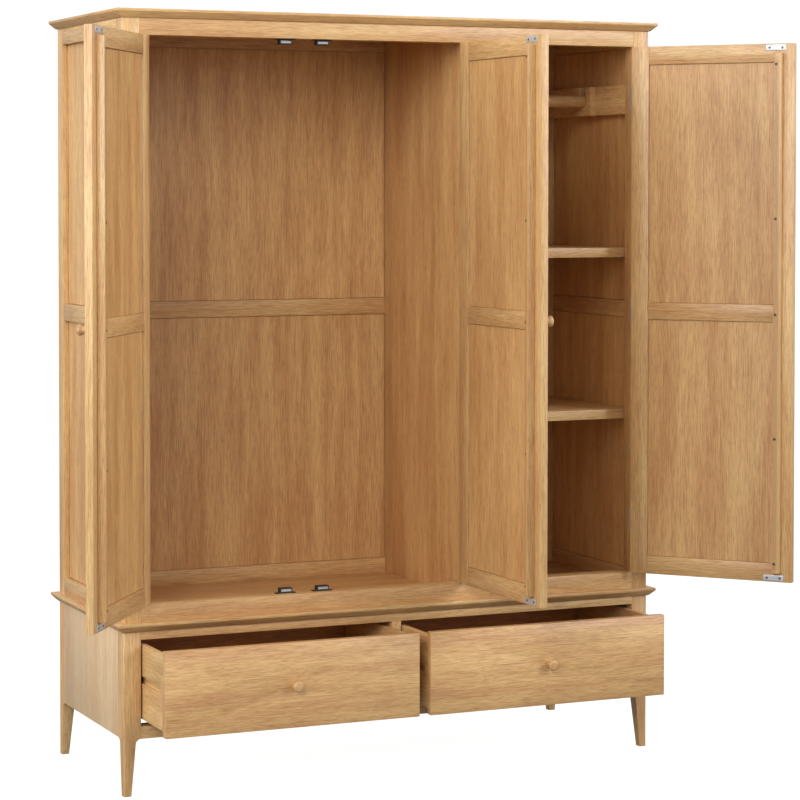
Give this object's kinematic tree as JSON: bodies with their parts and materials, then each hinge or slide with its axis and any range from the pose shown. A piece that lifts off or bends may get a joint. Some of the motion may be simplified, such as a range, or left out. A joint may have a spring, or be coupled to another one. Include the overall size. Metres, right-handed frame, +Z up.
{
  "type": "three-door wardrobe",
  "caption": "Oak wardrobe with three hinged doors, a hanging compartment, a shelved compartment and a base with two drawers on tapered legs.",
  "frame": {"origin": "on the floor, at the middle of the carcass's footprint", "axes": "+X to the right as seen from the front, -Y out of the front, +Z up"},
  "size_m": [1.9882, 1.0273, 1.98],
  "materials": {
    "oak_frame": "satin clear lacquer on solid oak",
    "oak_panel": "satin clear lacquer on oak panels, vertical grain",
    "oak_inner": "satin clear lacquer on inner oak boards",
    "oak_plank": "satin clear lacquer on solid oak, horizontal grain",
    "oak_drawer_front": "satin clear lacquer on solid oak, horizontal grain",
    "oak_turned": "satin clear lacquer on turned oak",
    "steel": "bright zinc-plated steel",
    "magnet_plate": "steel pole plate",
    "black_plastic": "matt black moulding"
  },
  "bodies": {
    "carcass": {"legs": "oak_frame", "base_side_panels": "oak_panel", "base_back_panel": "oak_inner", "base_top_rail": "oak_frame", "base_bottom_rail": "oak_frame", "drawer_divider": "oak_frame", "centre_board": "oak_inner", "drawer_runners": "oak_inner", "base_top": "oak_plank", "upper_posts": "oak_frame", "front_top_rail": "oak_frame", "front_bottom_rail": "oak_frame", "centre_stile": "oak_frame", "partition": "oak_panel", "side_rails": "oak_frame", "side_panels": "oak_panel", "back_frame": "oak_inner", "back_panels": "oak_inner", "floor_panel": "oak_inner", "cornice": "oak_plank", "shelves": "oak_plank", "shelf_pins": "steel", "hanging_rail": "oak_turned", "rail_supports": "oak_frame", "catch_housings": "black_plastic", "catch_magnets": "magnet_plate", "catch_screws": "steel", "frame_hinge_leaves": "steel", "hinge_pins": "steel"},
    "left_door": {"left_door_frame": "oak_frame", "left_door_panels": "oak_panel", "left_door_batten": "oak_frame", "left_door_strikes": "steel", "left_door_knob": "oak_turned", "left_door_hinge_leaves": "steel", "left_door_screws": "steel"},
    "middle_door": {"middle_door_frame": "oak_frame", "middle_door_panels": "oak_panel", "middle_door_batten": "oak_frame", "middle_door_strikes": "steel", "middle_door_knob": "oak_turned", "middle_door_hinge_leaves": "steel", "middle_door_screws": "steel"},
    "right_door": {"right_door_frame": "oak_frame", "right_door_panels": "oak_panel", "right_door_batten": "oak_frame", "right_door_strikes": "steel", "right_door_knob": "oak_turned", "right_door_hinge_leaves": "steel", "right_door_screws": "steel"},
    "left_drawer": {"left_drawer_front": "oak_drawer_front", "left_drawer_sides": "oak_inner", "left_drawer_back": "oak_inner", "left_drawer_bottom": "oak_inner", "left_drawer_knob": "oak_turned"},
    "right_drawer": {"right_drawer_front": "oak_drawer_front", "right_drawer_sides": "oak_inner", "right_drawer_back": "oak_inner", "right_drawer_bottom": "oak_inner", "right_drawer_knob": "oak_turned"}
  },
  "joints": [
    {"name": "left_door_hinge", "type": "hinge", "parent": "carcass", "child": "left_door", "pos_m": [-0.7048, -0.2798, 1.1995], "axis": [0, 0, 1], "range_deg": [-34, 126]},
    {"name": "middle_door_hinge", "type": "hinge", "parent": "carcass", "child": "middle_door", "pos_m": [0.20247, -0.2798, 1.1995], "axis": [0, 0, 1], "range_deg": [-91, 19]},
    {"name": "right_door_hinge", "type": "hinge", "parent": "carcass", "child": "right_door", "pos_m": [0.7048, -0.2798, 1.1995], "axis": [0, 0, 1], "range_deg": [-131.5, 28.5]},
    {"name": "left_drawer_slide", "type": "slide", "parent": "carcass", "child": "left_drawer", "axis": [0, -1, 0], "range_m": [-0.18, 0.15]},
    {"name": "right_drawer_slide", "type": "slide", "parent": "carcass", "child": "right_drawer", "axis": [0, -1, 0], "range_m": [-0.18, 0.15]}
  ]
}
